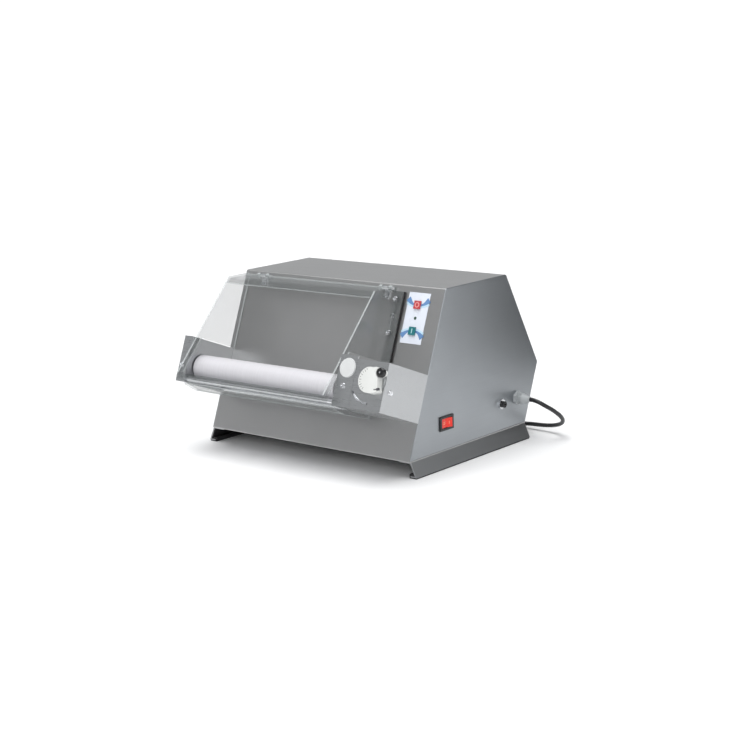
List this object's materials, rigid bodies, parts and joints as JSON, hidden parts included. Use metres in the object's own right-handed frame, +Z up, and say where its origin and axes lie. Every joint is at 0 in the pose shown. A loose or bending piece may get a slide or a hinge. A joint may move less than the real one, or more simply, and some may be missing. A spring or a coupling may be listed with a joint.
{
  "type": "tabletop dough sheeter",
  "caption": "Tabletop sheeter: sheet-steel casing on skids, a pair of powered rollers across its leaning front, a clear hinged guard, an adjuster and a mains lead.",
  "frame": {"origin": "Centre of the object's footprint box, without the free lead, on the surface it stands on.", "axes": "+Z up. +X towards the side with the power switch, along the rollers. -Y towards the user, +Y towards the rear."},
  "size_m": [0.5038, 0.5648, 0.283],
  "materials": {
    "steel_casing": "satin stainless sheet",
    "steel_bright": "bright stainless sheet",
    "steel_turned": "turned and plated steel",
    "steel_zinc": "bright zinc",
    "skid_steel": "satin stainless sheet",
    "black_rubber": "matt",
    "white_nylon": "fine matt",
    "white_roller": "fine satin",
    "bronze": "sintered bronze",
    "gear_steel": "machined",
    "belt_rubber": "ribbed",
    "motor_paint": "semi-gloss",
    "motor_core": "ground",
    "gearbox_alloy": "die cast",
    "clear_guard": "clear polycarbonate",
    "black_plastic": "gloss",
    "magnet_grey": "plated",
    "sensor_plastic": "matt",
    "label_film": "satin polyester film",
    "red_key": "satin",
    "green_key": "satin",
    "board_green": "solder mask",
    "switch_black": "matt",
    "switch_red": "translucent",
    "grey_plastic": "matt",
    "cord_black": "satin",
    "pin_metal": "nickel plated"
  },
  "bodies": {
    "casing": {"body_shell": "steel_casing", "side_panel_left": "steel_casing", "side_panel_right": "steel_casing", "base_plate": "steel_casing", "skid_left": "skid_steel", "skid_right": "skid_steel", "skid_rubbers": "black_rubber", "unit_wall_left": "steel_bright", "unit_wall_right": "steel_bright", "left_end_cover": "steel_bright", "drive_cover": "steel_bright", "cover_cap": "white_nylon", "m5_screws": "steel_zinc", "tie_bars": "steel_turned", "rear_roller_bushes": "bronze", "drive_belt": "belt_rubber", "motor_housing": "motor_paint", "gearbox_housing": "gearbox_alloy", "motor_bracket": "steel_casing", "roller_scrapers": "steel_bright", "guard_hinges": "steel_turned", "guard_sensor": "sensor_plastic", "outlet_guard": "clear_guard", "control_label": "label_film", "control_board": "board_green", "rocker_frame": "switch_black", "fuse_holder": "steel_zinc", "cable_gland": "grey_plastic", "gland_cap": "grey_plastic", "power_cord": "cord_black", "cord_coil": "cord_black", "cord_tie": "black_plastic", "cord_tail": "cord_black", "mains_plug": "black_plastic", "plug_pins": "pin_metal"},
    "rear_roller_set": {"rear_roller": "white_roller", "rear_roller_shaft": "steel_turned", "rear_gear": "gear_steel", "roller_pulley": "gearbox_alloy"},
    "front_carriage": {"slide_block_left": "white_nylon", "slide_block_right": "white_nylon", "adjuster_yoke": "gearbox_alloy"},
    "front_roller_set": {"front_roller": "white_roller", "front_roller_shaft": "steel_turned", "front_gear": "gear_steel"},
    "output_set": {"output_shaft": "steel_turned", "motor_pulley": "gearbox_alloy"},
    "rotor": {"motor_rotor": "motor_core"},
    "adjuster": {"adjuster_dial": "white_nylon", "adjuster_screw": "steel_turned", "plunger_spring": "steel_turned"},
    "plunger": {"index_plunger": "black_plastic"},
    "guard": {"upper_guard": "clear_guard", "guard_seal": "black_rubber", "guard_screws": "steel_zinc", "guard_magnet": "magnet_grey"},
    "stop_key": {"stop_button": "red_key"},
    "start_key": {"start_button": "green_key"},
    "switch_rocker": {"rocker": "switch_red"},
    "fuse_carrier": {"fuse_cap": "black_plastic"}
  },
  "joints": [
    {"name": "motor_rotor_spin", "type": "hinge", "parent": "casing", "child": "rotor", "pos_m": [0, 0.01997, 0.12], "axis": [1, 0, 0], "continuous": true},
    {"name": "output_spin", "type": "hinge", "parent": "casing", "child": "output_set", "pos_m": [0, 0.01997, 0.12], "axis": [1, 0, 0], "continuous": true},
    {"name": "rear_roller_spin", "type": "hinge", "parent": "casing", "child": "rear_roller_set", "pos_m": [0, -0.11756, 0.11991], "axis": [1, 0, 0], "continuous": true},
    {"name": "adjuster_turn", "type": "hinge", "parent": "casing", "child": "adjuster", "pos_m": [0.185, -0.18285, 0.16287], "axis": [0, 0.9302, -0.367], "range_deg": [0, 54]},
    {"name": "carriage_slide", "type": "slide", "parent": "casing", "child": "front_carriage", "axis": [0, -0.9302, 0.367], "range_m": [0, 0.003]},
    {"name": "front_roller_spin", "type": "hinge", "parent": "front_carriage", "child": "front_roller_set", "pos_m": [0, -0.15756, 0.13569], "axis": [1, 0, 0], "continuous": true},
    {"name": "plunger_pull", "type": "slide", "parent": "adjuster", "child": "plunger", "axis": [0, -0.9302, 0.367], "range_m": [0, 0.0016], "stiffness_N_per_m": 600, "deforming": ["plunger_spring"]},
    {"name": "guard_open", "type": "hinge", "parent": "casing", "child": "guard", "pos_m": [0, -0.03845, 0.27683], "axis": [-1, 0, 0], "range_deg": [0, 80]},
    {"name": "stop_press", "type": "slide", "parent": "casing", "child": "stop_key", "axis": [0, 0.9302, -0.367], "range_m": [0, 0.0008], "stiffness_N_per_m": 800},
    {"name": "start_press", "type": "slide", "parent": "casing", "child": "start_key", "axis": [0, 0.9302, -0.367], "range_m": [0, 0.0008], "stiffness_N_per_m": 800},
    {"name": "main_switch_rock", "type": "hinge", "parent": "casing", "child": "switch_rocker", "pos_m": [0.2115, -0.03753, 0.0705], "axis": [0, 0, 1], "range_deg": [0, 16]},
    {"name": "fuse_cap_turn", "type": "hinge", "parent": "casing", "child": "fuse_carrier", "pos_m": [0.215, 0.11097, 0.071], "axis": [1, 0, 0], "range_deg": [0, 90]}
  ],
  "couplings": [
    {"joint": "output_spin", "follows": "motor_rotor_spin", "ratio": 0.1},
    {"joint": "rear_roller_spin", "follows": "motor_rotor_spin", "ratio": 0.068},
    {"joint": "front_roller_spin", "follows": "motor_rotor_spin", "ratio": -0.068},
    {"joint": "adjuster_turn", "follows": "carriage_slide", "rad_per_m": 314.16}
  ]
}
